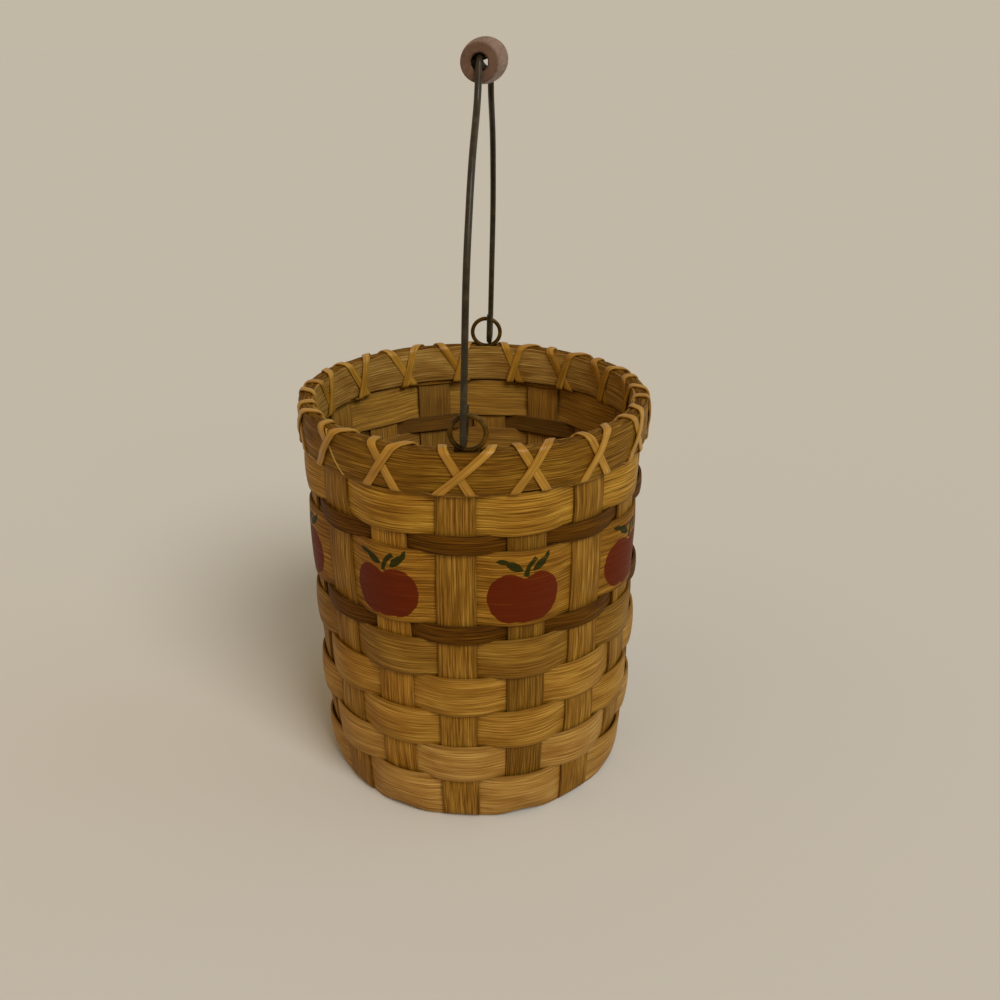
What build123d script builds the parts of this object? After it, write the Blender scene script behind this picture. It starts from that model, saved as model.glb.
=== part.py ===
# Woven apple basket with a swinging wire bail and a turned wooden grip.
# Millimetres, +Z up. The origin is on the floor under the middle of the basket. The front ear is at -Y, and
# the bail stands nearly in the YZ plane: a little to the right, turned and leaning as it was photographed.
import os
from math import asin, atan, atan2, cos, degrees, hypot, pi, radians, sin, sqrt, tan

from build123d import *

os.makedirs("parts", exist_ok=True)

# Uprights: flat reed strips that cross under the base and stand up at both ends
stake_count = 16
stake_width = 16.0
stake_thickness = 1.1
wall_radius = 71.0
ear_offset_angle = 2.6
foot_inset = 3.6
belly_inset = 1.2
base_bend_radius = 3.0

# Rows of the wall, from the floor up
weaver_thickness = 1.1
weave_clearance = 0.1
row_gap = 0.25
first_row_height = 19.2
light_row_height = 17.05
brown_row_height = 7.3
apple_band_height = 32.3

# Rim: two bands that clamp the rim row and the stake ends, and a filler strip on top
lash_passage = 1.25
rim_row_thickness = 0.8
rim_band_thickness = 1.1
rim_band_height = 16.7
rim_edge_radius = 0.3
filler_height = 2.8
filler_crown = 0.6
filler_ear_gap = 10.5

# Cane lashing
lash_width = 3.4
lash_thickness = 0.65
lash_clearance = 0.1
lash_turn_gap = 0.65
lash_foot_spread = 10.1
lash_top_spread = 7.5
lash_top_offset = 0.75
lash_ear_room = 6.1
lash_inner_foot_spread = 4.4
lash_inner_top_spread = 10.2

# Woven base
base_round_count = 6
base_round_width = 4.6
base_round_thickness = 1.0
base_round_gap = 1.3
base_floor_gap = 0.5
foot_width = 2.75
foot_rise_length = 2.0
waist_width = 5.0
stack_radius = 20.0
stack_lift = 0.8
stack_gap = 0.05
slope_rounds = 2

# Ears
ear_shift = 2.0
ear_wire_diameter = 1.9
ear_eye_diameter = 11.5
ear_sink = 0.9
ear_wire_rounding = 0.9
tang_thickness = 0.7
tang_width = 5.0
tang_length = 12.0

# Bail and grip
bail_turn_angle = 1.25
bail_lean_angle = 1.65
bail_wire_diameter = 2.6
hook_bend_radius = 2.8
hook_clearance = 0.3
hook_tail_height = 13.5
leg_drop = 66.3
leg_lean = 1.6
shoulder_drop = 34.0
shoulder_inset = 17.0
neck_drop = 14.0
neck_inset = 4.5
neck_turn_radius = 20.0
grip_turn_radius = 4.0
leg_turn_radius = 70.0
shoulder_turn_radius = 60.0
bail_height = 130.3
grip_length = 63.0
grip_end_diameter = 13.6
grip_middle_diameter = 16.6
grip_bore = 6.3
grip_bore_flare = 0.5
grip_edge_radius = 0.6

# Derived places: the wall
pitch = 360.0 / stake_count
strip_count = stake_count // 2
front_angle = -90.0
first_stake_angle = front_angle - ear_offset_angle
wall_outside = wall_radius + stake_thickness / 2
wall_inside = wall_radius - stake_thickness / 2

INSIDE, OUTSIDE = 0, 1
rows = [
    ("weaver_row_1", first_row_height, INSIDE),
    ("weaver_row_2", light_row_height, OUTSIDE),
    ("weaver_row_3", light_row_height, INSIDE),
    ("weaver_row_4", light_row_height, OUTSIDE),
    ("weaver_row_5", light_row_height, INSIDE),
    ("lower_brown_weaver", brown_row_height, OUTSIDE),
    ("apple_band", apple_band_height, INSIDE),
    ("upper_brown_weaver", brown_row_height, OUTSIDE),
    ("top_row_weaver", light_row_height, INSIDE),
]
wall_top = base_bend_radius + sum(height for _, height, _ in rows) + row_gap * (len(rows) - 1)
belly_height = base_bend_radius + first_row_height + light_row_height + row_gap * 1.5
foot_radius = wall_radius - foot_inset
belly_radius = wall_radius - belly_inset


def wall_at(height):
    """Radius of the stakes' middle at a height: they lean in towards the foot and are upright in the rim."""
    knots = [(base_bend_radius, foot_radius), (belly_height, belly_radius), (wall_top, wall_radius)]
    for (low, low_radius), (high, high_radius) in zip(knots, knots[1:]):
        if height <= high:
            return low_radius + (height - low) / (high - low) * (high_radius - low_radius)
    return wall_radius


def weave_wave(thickness, radius):
    """Radii of a strip's middle line that passes outside one stake and inside the next one.

    Each stake has one arc, and the arcs meet tangent half way between two stakes. The outer arc
    clears the outer corners of the flat stake, and the inner arc clears its inner corners. The
    stakes' middle lies at the radius. Returns the outer peak, the inner peak, the meeting point and
    the normal there, the last two in the frame of a stake that the strip passes outside.
    """
    half_pitch = radians(pitch / 2)
    reach = stake_thickness / 2 + weave_clearance
    inner_peak = radius - reach - thickness / 2
    curve, meeting = radius / 2, radius
    for _ in range(40):
        crown = curve - sqrt((curve - thickness / 2) ** 2 - (stake_width / 2) ** 2)
        outer_peak = radius + reach + crown
        edge_share = stake_width / 2 / (meeting * sin(half_pitch))
        edge_rise = max(meeting * cos(half_pitch) - inner_peak, 0) * edge_share ** 2
        inner_peak = radius - reach - thickness / 2 - edge_rise
        swing = (outer_peak - inner_peak) / (meeting * sin(half_pitch))
        turn = atan(swing / 2) + asin(swing * cos(half_pitch) / hypot(2, swing))
        lean = (half_pitch + turn) / 2
        meeting = outer_peak / (cos(half_pitch) + sin(half_pitch) * tan(lean))
        curve = meeting * sin(half_pitch) / sin(2 * lean)
    point = Vector(meeting * cos(half_pitch), meeting * sin(half_pitch))
    normal = (point - Vector(outer_peak - curve, 0)) / curve
    return outer_peak, inner_peak, point, normal


# Derived places: the rim
rim_outer_peak, rim_inner_peak, _, _ = weave_wave(rim_row_thickness, wall_radius)
rim_bottom = wall_top + lash_passage
rim_top = rim_bottom + rim_band_height
outer_band_inside = rim_outer_peak + rim_row_thickness / 2 + weave_clearance
outer_band_outside = outer_band_inside + rim_band_thickness
inner_band_outside = rim_inner_peak - rim_row_thickness / 2 - weave_clearance
inner_band_inside = inner_band_outside - rim_band_thickness
filler_top = rim_top + filler_crown
filler_bottom = filler_top - filler_height
stake_top = filler_bottom - weave_clearance

# Derived places: the base
dome_height = base_floor_gap + base_round_thickness + weave_clearance
foot_outer = foot_radius + stake_thickness / 2 - base_bend_radius
foot_inner = foot_outer - foot_width
dome_edge = foot_inner - foot_rise_length
round_pitch = base_round_width + base_round_gap
outer_round_radius = dome_edge - base_round_width / 2 - weave_clearance
inner_round_radius = outer_round_radius - round_pitch * (base_round_count - 1)
slope_radius = inner_round_radius + round_pitch * (slope_rounds - 0.5)

# Derived places: ears, bail and grip
eye_centre = rim_top - ear_sink + ear_wire_diameter + ear_eye_diameter / 2
hook_play = ear_eye_diameter / 2 - bail_wire_diameter / 2 - hook_clearance
hook_offset = wall_radius * tan(radians(bail_turn_angle))
hinge_height = eye_centre - sqrt(hook_play ** 2 - hook_offset ** 2)
hook_reach = ear_wire_diameter / 2 + hook_clearance + hook_bend_radius
grip_drop = grip_bore / 2 - bail_wire_diameter / 2 - hook_clearance


def polar(radius, angle, height=0.0):
    """A point at a radius and an angle in degrees round the basket's axis."""
    return Vector(radius * cos(radians(angle)), radius * sin(radians(angle)), height)


def upright_plane(angle):
    """The vertical plane through the axis at an angle: X runs outwards and Y runs up."""
    return Plane(origin=(0, 0, 0), x_dir=polar(1, angle), z_dir=polar(1, angle - 90))


def save(builder, name):
    """Label a finished piece and write it to its own file."""
    builder.part.label = name
    export_step(builder.part, f"parts/{name}.step")


# Stakes
def stack_layer(strip):
    """Layer of a strip where all strips cross: neighbours lie at most two layers apart."""
    return min(2 * strip, 2 * strip_count - 1 - 2 * strip)


def stack_bottom(strip):
    """Height of a strip's underside at the crossing."""
    layer = stack_layer(strip)
    return dome_height + stack_lift + layer * (stake_thickness + stack_gap)


def strip_underside(strip, reach):
    """Height of a strip's underside in the base, at a distance from the axis."""
    if reach <= stack_radius:
        return stack_bottom(strip)
    if reach <= slope_radius:
        share = (reach - stack_radius) / (slope_radius - stack_radius)
        return stack_bottom(strip) + share * (dome_height - stack_bottom(strip))
    return dome_height


def strip_half_width(reach):
    """Half the width of a strip in the base: the strips are trimmed to a waist where they cross."""
    share = min(max((reach - stack_radius) / (dome_edge - stack_radius), 0), 1)
    return (waist_width + share * (stake_width - waist_width)) / 2


def strip_edge(strip, inset):
    """One face of a strip seen edge-on, from one tip to the other: the outer face, or one inset from it."""
    folds = [
        (stack_radius, stack_bottom(strip) + inset),
        (slope_radius, dome_height + inset),
        (dome_edge, dome_height + inset),
        (foot_inner, inset),
        (foot_outer, inset),
    ]
    base = Polyline(*[(-x, z) for x, z in reversed(folds)], *folds)
    bend = base_bend_radius - inset
    right = JernArc(start=base @ 1, tangent=base % 1, radius=bend, arc_size=90)
    left = JernArc(start=base @ 0, tangent=(base % 0) * -1, radius=bend, arc_size=-90)
    wall = []
    for height in (belly_height, wall_top, stake_top):
        wall.append((wall_at(height) + stake_thickness / 2 - inset, height))
    right_wall = Polyline(right @ 1, *wall)
    left_wall = Polyline(left @ 1, *[(-x, z) for x, z in wall])
    return left_wall @ 1, right_wall @ 1


for strip in range(strip_count):
    strip_angle = first_stake_angle + strip * pitch
    waist = [
        (wall_outside + stake_width, stake_width / 2),
        (dome_edge, stake_width / 2),
        (stack_radius, waist_width / 2),
    ]
    half_outline = waist + [(-x, y) for x, y in reversed(waist)]
    with BuildPart() as stake:
        with BuildSketch(upright_plane(strip_angle)):
            with BuildLine():
                outer_left, outer_right = strip_edge(strip, 0)
                inner_left, inner_right = strip_edge(strip, stake_thickness)
                Line(outer_left, inner_left)
                Line(outer_right, inner_right)
            make_face()
        extrude(amount=stake_width / 2, both=True)
        with BuildSketch(Plane(origin=(0, 0, 0), x_dir=polar(1, strip_angle), z_dir=(0, 0, 1))):
            with BuildLine():
                Polyline(*half_outline, *[(x, -y) for x, y in reversed(half_outline)], close=True)
            make_face()
        extrude(amount=stake_top, mode=Mode.INTERSECT)
    save(stake, f"stake_{strip + 1}")


# Rounds of narrow reed that lock the crossing strips of the base
def round_section(radius, arm, side, over):
    """One cross-section of a base round, at one edge of a strip's arm."""
    reach = radius + base_round_width / 2
    half_angle = asin((strip_half_width(reach) + weave_clearance) / (radius - base_round_width / 2))
    angle = first_stake_angle + arm * pitch + side * degrees(half_angle)
    corners = []
    for edge in (radius - base_round_width / 2, radius + base_round_width / 2):
        underside = strip_underside(arm % strip_count, edge * cos(half_angle))
        low = underside + stake_thickness + weave_clearance
        if not over:
            low = underside - weave_clearance - base_round_thickness
        corners.append((edge, low))
    (inner, inner_low), (outer, outer_low) = corners
    with BuildSketch(upright_plane(angle)) as section:
        with BuildLine():
            Polyline(
                (inner, inner_low),
                (outer, outer_low),
                (outer, outer_low + base_round_thickness),
                (inner, inner_low + base_round_thickness),
                close=True,
            )
        make_face()
    return section.sketch


for number in range(base_round_count):
    round_radius = inner_round_radius + number * round_pitch
    sections = []
    for arm in range(stake_count + 1):
        for side in (-1, 1):
            sections.append(round_section(round_radius, arm, side, (arm + number) % 2 == 0))
    middle = len(sections) // 2
    with BuildPart() as base_round:
        loft(sections=sections[1:middle + 1], ruled=True)
        loft(sections=sections[middle:], ruled=True)
    save(base_round, f"base_round_{number + 1}")


# Rows of the wall and the rim row
def woven_face(height, thickness, offset, phase):
    """Level face inside the outline of a woven strip, at an offset from the strip's middle line."""
    outer_peak, inner_peak, meeting, normal = weave_wave(thickness, wall_at(height))
    corner = meeting + normal * offset
    corner_angle = degrees(atan2(corner.Y, corner.X))
    with BuildSketch(Plane.XY.offset(height)) as face:
        with BuildLine():
            for stake_number in range(stake_count):
                angle = first_stake_angle + stake_number * pitch
                outside = (stake_number + phase) % 2 == 1
                peak = (outer_peak if outside else inner_peak) + offset
                half_step = corner_angle if outside else pitch - corner_angle
                ThreePointArc(
                    polar(corner.length, angle - half_step),
                    polar(peak, angle),
                    polar(corner.length, angle + half_step),
                )
        make_face()
    return face.sketch


def weave_row(name, bottom, height, thickness, phase):
    """A closed round of flat reed that runs outside one stake and inside the next, and leans with the stakes."""
    with BuildPart() as row:
        for offset, mode in ((thickness / 2, Mode.ADD), (-thickness / 2, Mode.SUBTRACT)):
            faces = [woven_face(level, thickness, offset, phase) for level in (bottom, bottom + height)]
            loft(sections=faces, ruled=True, mode=mode)
    save(row, name)


row_bottom = base_bend_radius
for row_name, row_height, row_phase in rows:
    weave_row(row_name, row_bottom, row_height, weaver_thickness, row_phase)
    row_bottom += row_height + row_gap
weave_row("rim_row", rim_bottom, stake_top - rim_bottom, rim_row_thickness, OUTSIDE)


# Rim bands
def rim_band(name, inside, outside):
    """A plain hoop of flat reed with eased edges."""
    with BuildPart() as band:
        with BuildSketch(Plane.XY.offset(rim_bottom)):
            Circle(outside)
            Circle(inside, mode=Mode.SUBTRACT)
        extrude(amount=rim_band_height)
        fillet(band.edges(), min(rim_edge_radius, 0.4 * rim_band_thickness))
    save(band, name)


rim_band("outer_rim_band", outer_band_inside, outer_band_outside)
rim_band("inner_rim_band", inner_band_inside, inner_band_outside)

# Rim filler: a crowned strip between the bands, in two lengths that leave room for the ears
filler_inside = inner_band_outside + weave_clearance
filler_outside = outer_band_inside - weave_clearance
filler_shoulder = rim_top - rim_edge_radius
for filler_name, side in (("rim_filler_right", 1), ("rim_filler_left", -1)):
    with BuildPart() as filler:
        with BuildSketch(Plane.XZ):
            with BuildLine():
                floor_edge = Polyline(
                    (filler_inside, filler_shoulder),
                    (filler_inside, filler_bottom),
                    (filler_outside, filler_bottom),
                    (filler_outside, filler_shoulder),
                )
                crown_top = ((filler_inside + filler_outside) / 2, filler_top)
                ThreePointArc(floor_edge @ 1, crown_top, floor_edge @ 0)
            make_face()
        revolve(axis=Axis.Z)
        end_plane = Plane.YZ.offset(ear_shift + side * filler_ear_gap / 2)
        split(bisect_by=end_plane, keep=Keep.TOP if side > 0 else Keep.BOTTOM)
    save(filler, filler_name)


# Cane lashing: two strands, each wound once per stake
def ear_angle(side):
    """Angle of an ear round the basket's axis: side is -1 at the front and 1 at the back."""
    return degrees(atan2(side * wall_radius, ear_shift))


def lash_spans(leaning, stake_angle):
    """Angles, from a stake's middle, where a strand turns round the rim's four corners in one winding.

    A strand leaning right climbs the outside, crosses the top and comes down inside. A strand
    leaning left does the same the other way round, so its angles are mirrored about the stake,
    with an offset at the top. Next to an ear both strands give way to it.
    """
    outer_foot = -lash_foot_spread / 2
    outer_top = lash_top_spread / 2 + leaning * lash_top_offset
    inner_top = pitch / 2 - lash_inner_top_spread / 2 + leaning * ear_offset_angle
    inner_foot = pitch / 2 + lash_inner_foot_spread / 2
    for side in (-1, 1):
        to_ear = (ear_angle(side) - stake_angle + 180) % 360 - 180
        if abs(to_ear) < pitch / 2:
            clear = lash_ear_room + leaning * to_ear
            outer_top, inner_top = max(outer_top, clear), max(inner_top, clear)
    return [leaning * angle for angle in (outer_foot, outer_top, inner_top, inner_foot)]


lash_middle = lash_clearance + lash_thickness / 2
lash_outside = outer_band_outside + lash_middle
lash_inside = inner_band_inside - lash_middle
lash_over = filler_top + lash_middle
lash_under = rim_bottom - lash_middle
lash_raise = lash_thickness + lash_clearance
lash_turn = wall_outside + lash_turn_gap
outside_stops = [0.08, 0.22, 0.42, 0.62, 0.81, 0.92]
inside_stops = [0.16, 0.36, 0.68, 0.9]
outside_crossing = (0.22, 0.81)
inside_crossing = (0.36, 1.0)


def lash_winding(leaning, turn, raised):
    """Stations of one winding: angle, radius, height, tilt of the cane's face and width along the rim."""
    start = first_stake_angle + leaning * turn * pitch
    outer_foot, outer_top, inner_top, inner_foot = [start + angle for angle in lash_spans(leaning, start)]
    climb = lash_over - lash_under
    shift = radians(abs(outer_top - outer_foot)) * lash_outside
    outside_width = lash_width * hypot(shift, climb) / climb
    lift = lash_raise if raised else 0.0
    stations = [
        (inner_foot - leaning * pitch, lash_turn, lash_under, -90, lash_width),
        (outer_foot, lash_outside, lash_under, -45, lash_width),
    ]
    for share in outside_stops:
        angle = outer_foot + share * (outer_top - outer_foot)
        over = lift if outside_crossing[0] <= share <= outside_crossing[1] else 0.0
        stations.append((angle, lash_outside + over, lash_under + share * climb, 0, outside_width))
    stations.append((outer_top, lash_outside, lash_over, 45, lash_width))
    stations.append((inner_top, lash_inside, lash_over, 135, lash_width))
    for share in inside_stops:
        angle = inner_top + share * (inner_foot - inner_top)
        over = lift if inside_crossing[0] <= share <= inside_crossing[1] else 0.0
        stations.append((angle, lash_inside - over, lash_over - share * climb, 180, lash_width))
    stations.append((inner_foot, lash_inside - lift, lash_under, 225, lash_width))
    return stations


def lash_strand(name, leaning, raised):
    """One unbroken strand of cane, wound round the rim once at every stake, with both ends under the rim."""
    stations = []
    for turn in range(stake_count):
        stations += lash_winding(leaning, turn, raised)
    last_angle = stations[-1][0]
    stations.append((last_angle, lash_inside + lash_width / 2, lash_under, 270, lash_width))
    middles = []
    with BuildPart() as strand:
        for angle, radius, height, tilt, width in stations:
            along = polar(1, angle + 90)
            outwards = polar(cos(radians(tilt)), angle, sin(radians(tilt)))
            thickness = lash_thickness * (sqrt(2) if tilt % 90 else 1)
            centre = polar(radius, angle, height)
            middles.append(centre)
            with BuildSketch(Plane(origin=centre, x_dir=along, z_dir=along.cross(outwards))):
                Rectangle(width, thickness)
        loft(ruled=True)
    save(strand, name)
    per_turn = len(stations) // stake_count
    gaps = [(middles[0] - middles[-1]).length]
    for one, next_one, station in zip(middles, middles[per_turn:-1], stations):
        gaps.append((one - next_one).length - station[4])
    print(name, "windings", stake_count, "least gap to itself", round(min(gaps), 2))


lash_strand("first_lashing", -1, False)
lash_strand("second_lashing", 1, True)


# Ears: a wire eye on a flat tang that the rim holds between a stake and the inner band
def ear(name, side):
    """side is -1 at the front and 1 at the back."""
    tang_gap = (wall_inside - inner_band_outside - tang_thickness) / 2
    tang_inside = inner_band_outside + tang_gap
    wire_radius = ear_wire_diameter / 2
    with BuildPart() as eye:
        with BuildSketch(Plane.XZ.offset(-side * wall_radius)):
            with Locations((ear_shift, eye_centre)):
                Circle(ear_eye_diameter / 2 + ear_wire_diameter)
                Circle(ear_eye_diameter / 2, mode=Mode.SUBTRACT)
        extrude(amount=wire_radius, both=True)
        fillet(eye.edges(), ear_wire_rounding * wire_radius)
        shoulder_top = eye_centre - ear_eye_diameter / 2 - wire_radius
        with BuildSketch(Plane.YZ.offset(ear_shift)):
            with BuildLine():
                Polyline(
                    (side * tang_inside, filler_bottom - tang_length),
                    (side * (tang_inside + tang_thickness), filler_bottom - tang_length),
                    (side * (tang_inside + tang_thickness), filler_bottom),
                    (side * wall_outside, filler_bottom + wire_radius),
                    (side * wall_outside, shoulder_top),
                    (side * tang_inside, shoulder_top),
                    close=True,
                )
            make_face()
        extrude(amount=tang_width / 2, both=True)
    save(eye, name)


ear("front_ear", -1)
ear("rear_ear", 1)

# Bail: one wire, hooked through both ears and cranked up at the grip
bail_along = polar(1, 90 - bail_turn_angle)
bail_lean = radians(bail_lean_angle)
bail_plane = Plane(
    origin=(ear_shift, 0, hinge_height),
    x_dir=bail_along,
    z_dir=polar(cos(bail_lean), -bail_turn_angle, -sin(bail_lean)),
)
eye_reach = wall_radius / cos(radians(bail_turn_angle))
leg_reach = eye_reach + hook_reach
tail_reach = eye_reach - hook_reach
neck_reach = grip_length / 2
bail_half = [
    (tail_reach, hook_tail_height),
    (tail_reach, 0),
    (leg_reach, 0),
    (leg_reach - leg_lean, bail_height - leg_drop),
    (leg_reach - shoulder_inset, bail_height - shoulder_drop),
    (neck_reach + neck_inset, bail_height - neck_drop),
    (neck_reach, bail_height),
]
bail_turns = [
    hook_bend_radius,
    hook_bend_radius,
    leg_turn_radius,
    shoulder_turn_radius,
    neck_turn_radius,
    grip_turn_radius,
]
with BuildPart() as bail_wire:
    with BuildLine(bail_plane) as bail_path:
        FilletPolyline(
            *[(-along, up) for along, up in bail_half],
            *reversed(bail_half),
            radius=bail_turns + bail_turns[::-1],
        )
    with BuildSketch(Plane(origin=bail_path.line @ 0, z_dir=bail_path.line % 0)):
        Circle(bail_wire_diameter / 2)
    sweep()
save(bail_wire, "bail_wire")
wire_section = pi * bail_wire_diameter ** 2 / 4
wire_length = bail_path.wire().length
print("bail volume over section times length", round(bail_wire.part.volume / (wire_section * wire_length), 4))

# Grip: a turned barrel with a bore wide enough to slip over the bent wire
grip_centre = bail_plane.from_local_coords((0, bail_height - grip_drop, 0))
with BuildPart() as grip:
    with BuildSketch(Plane(origin=grip_centre, x_dir=bail_along, z_dir=bail_plane.z_dir)):
        with BuildLine():
            side_line = Polyline(
                (-grip_length / 2, grip_end_diameter / 2),
                (-grip_length / 2, 0),
                (grip_length / 2, 0),
                (grip_length / 2, grip_end_diameter / 2),
            )
            ThreePointArc(side_line @ 1, (0, grip_middle_diameter / 2), side_line @ 0)
        make_face()
    revolve(axis=Axis(grip_centre, bail_along))
    fillet(grip.edges().filter_by(GeomType.CIRCLE), grip_edge_radius)
    with BuildSketch(Plane(origin=grip_centre, z_dir=bail_along)):
        Circle(grip_bore / 2)
    extrude(amount=grip_length / 2, both=True, mode=Mode.SUBTRACT)
    bore_edges = grip.edges().filter_by(GeomType.CIRCLE).group_by(SortBy.RADIUS)[0]
    chamfer(bore_edges, grip_bore_flare)
save(grip, "grip")
print("bail hinge", bail_plane.origin, "along", bail_along, "grip axis", grip_centre)
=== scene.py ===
# %% [markdown]
# # A small woven apple basket with a wire bail
# Eight long strips of flat reed cross under the base and stand up as sixteen stakes. Rounds of reed
# weave in and out of them, two bands clamp the top edge, and narrow cane lashes the bands in crosses.
# A wire bail with a turned wooden grip swings in two wire eyes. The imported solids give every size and
# place, so the first step loads them and keeps their box.

# %% Load the frame
import bisect
import math

import bmesh
import bpy
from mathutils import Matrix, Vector, noise


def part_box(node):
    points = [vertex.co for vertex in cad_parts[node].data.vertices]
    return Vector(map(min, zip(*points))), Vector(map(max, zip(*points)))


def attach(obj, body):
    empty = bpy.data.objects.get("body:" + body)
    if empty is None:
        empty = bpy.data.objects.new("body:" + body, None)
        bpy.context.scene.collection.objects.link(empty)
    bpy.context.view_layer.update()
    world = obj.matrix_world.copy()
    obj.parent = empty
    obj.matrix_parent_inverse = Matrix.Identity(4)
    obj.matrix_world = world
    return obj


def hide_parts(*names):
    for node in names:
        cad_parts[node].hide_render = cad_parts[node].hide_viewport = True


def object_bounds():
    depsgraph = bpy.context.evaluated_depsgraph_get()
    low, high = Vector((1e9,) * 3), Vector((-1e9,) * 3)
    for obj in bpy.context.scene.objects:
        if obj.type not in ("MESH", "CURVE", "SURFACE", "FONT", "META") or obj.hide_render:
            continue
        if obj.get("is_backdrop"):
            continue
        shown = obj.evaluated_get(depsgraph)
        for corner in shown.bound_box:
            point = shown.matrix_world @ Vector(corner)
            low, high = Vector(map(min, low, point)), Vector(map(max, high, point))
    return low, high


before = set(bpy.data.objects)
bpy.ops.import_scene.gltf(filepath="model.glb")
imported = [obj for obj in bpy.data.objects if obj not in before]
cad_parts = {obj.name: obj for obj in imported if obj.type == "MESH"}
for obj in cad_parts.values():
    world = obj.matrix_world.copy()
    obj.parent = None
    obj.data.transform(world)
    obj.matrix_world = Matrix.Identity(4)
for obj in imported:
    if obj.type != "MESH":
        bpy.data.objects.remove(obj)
cad_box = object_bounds()

# %% [markdown]
# ## Measures
# A weaver is easy to rebuild when three things are known: where the stakes stand, how far the reed
# swings out and in, and how high each row lies. All three are read from the solids, so the dressed
# basket can't drift from them. Only the reed's own sizes and the places where a strip folds are
# repeated here.

# %% Measures from the frame
MM = 0.001
STAKES = 16
STRIPS = STAKES // 2
PITCH = math.tau / STAKES

reed_thickness = 1.1 * MM
stake_width = 16 * MM
waist_width = 5 * MM
weave_clearance = 0.1 * MM
stack_radius = 20 * MM
slope_radius = 37.15 * MM
dome_edge = 60.2 * MM
dome_height = 1.6 * MM
foot_inner = 62.2 * MM
foot_radius = 67.4 * MM
belly_radius = 69.8 * MM
belly_height = 39.6 * MM


def node_points(node):
    """The corner points of a solid."""
    return [vertex.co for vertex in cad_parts[node].data.vertices]


def reach(point):
    """Distance of a point from the basket's axis."""
    return math.hypot(point.x, point.y)


def polar(radius, angle, height):
    """A point at a radius and an angle round the basket's axis."""
    return Vector((radius * math.cos(angle), radius * math.sin(angle), height))


stake_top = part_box("stake_1")[1].z
front_tip = [point for point in node_points("stake_1") if point.z > stake_top - MM and point.y < 0]
tip_middle = sum(front_tip, Vector()) / len(front_tip)
first_angle = math.atan2(tip_middle.y, tip_middle.x)
wall_radius = reach(tip_middle)
print("first stake at", round(math.degrees(first_angle), 2), "degrees")
print("wall radius", round(wall_radius / MM, 2), "mm")

# %% [markdown]
# ## One strip, many pieces
# Flat reed is one thing used everywhere, so one helper makes it all. A plain grid is laid out by a
# formula that says where a share of the length and a share of the width belong. The helper also
# writes two UV maps: "Grain" in millimetres along and across the strip, for the fibres, and "Share"
# from 0 to 1, for the edges. An attribute, "Reach", keeps the distance of the middle surface from the
# basket's axis, so that paint can tell the outer face from the inner one. Solidify gives the reed its
# thickness, and a small bevel eases the edges.

# %% Helper for strips
merge_distance = 0.001 * MM
eased_share = 0.28
eased_angle = math.radians(50)


def wander(size, *place):
    """A smooth, repeatable irregularity, between minus and plus size."""
    return size * noise.noise(Vector(place))


def ring_wander(size, angle, beat, seed):
    """An irregularity that closes on itself round the basket."""
    return wander(size, beat * math.cos(angle), beat * math.sin(angle), seed)


def crown(share):
    """A low arch over the width of a strip: 1 in the middle and 0 at both edges."""
    return 1 - (2 * share - 1) ** 2


def ease(share):
    """A smooth step from 0 to 1."""
    share = min(max(share, 0), 1)
    return share * share * (3 - 2 * share)


def add_piece(name, mesh, material, slot, nodes, body="basket"):
    """Link a finished mesh as a piece that rides on a body and stands for its solids."""
    for polygon in mesh.polygons:
        polygon.use_smooth = True
    mesh.materials.append(material)
    piece = bpy.data.objects.new(name, mesh)
    bpy.context.scene.collection.objects.link(piece)
    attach(piece, body)
    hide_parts(*nodes)
    return piece


def strip(name, place, cells, size, seed, look, nodes, thickness=reed_thickness, closed=True, thin=None):
    """A flat strip of reed or cane.

    place(s, t) is the middle surface at shares of the length and width, cells the grid's cells both
    ways, size the strip's real length and width, and look a material and a slot. thin(s) gives the
    share of the thickness that is left near a scarfed end.
    """
    bm = bmesh.new()
    bmesh.ops.create_grid(bm, x_segments=cells[0], y_segments=cells[1], size=0.5)
    grain_map = bm.loops.layers.uv.new("Grain")
    share_map = bm.loops.layers.uv.new("Share")
    middle_reach = bm.verts.layers.float.new("Reach")
    weights = bm.verts.layers.deform.new()
    for face in bm.faces:
        for loop in face.loops:
            s, t = loop.vert.co.x + 0.5, loop.vert.co.y + 0.5
            loop[grain_map].uv = ((s * size[0] + seed) / MM, t * size[1] / MM)
            loop[share_map].uv = (s, t)
    for vertex in bm.verts:
        s, t = vertex.co.x + 0.5, vertex.co.y + 0.5
        vertex.co = place(s, t)
        vertex[middle_reach] = reach(vertex.co)
        vertex[weights][0] = thin(s) if thin else 1.0
    if closed:
        bmesh.ops.remove_doubles(bm, verts=bm.verts, dist=merge_distance)
    mesh = bpy.data.meshes.new(name)
    bm.to_mesh(mesh)
    bm.free()
    piece = add_piece(name, mesh, look[0], look[1], nodes)
    piece.vertex_groups.new(name="full thickness")
    wall = piece.modifiers.new("thickness", "SOLIDIFY")
    wall.thickness = thickness
    wall.offset = 0
    wall.use_even_offset = True
    wall.vertex_group = "full thickness"
    wall.thickness_vertex_group = 0.0
    eased = piece.modifiers.new("eased edges", "BEVEL")
    eased.width = eased_share * thickness
    eased.segments = 2
    eased.limit_method = "ANGLE"
    eased.angle_limit = eased_angle
    eased.harden_normals = True
    return piece


# %% [markdown]
# ## Shader helpers
# A material is a small tree of nodes, and a few helpers keep the trees readable. One adds a node and
# fills its sockets, and the others use it: for arithmetic on numbers and vectors, for soft and straight
# ramps, for mixing two colours and for joining what was made to the shader. Colours are written as they
# look on a screen and turned into the linear values that a shader needs.

# %% Shader helpers
def tone(red, green, blue):
    """A screen colour, 0 to 255, as a linear colour."""
    def linear(value):
        value /= 255
        return value / 12.92 if value <= 0.04045 else ((value + 0.055) / 1.055) ** 2.4
    return linear(red), linear(green), linear(blue), 1.0


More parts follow.
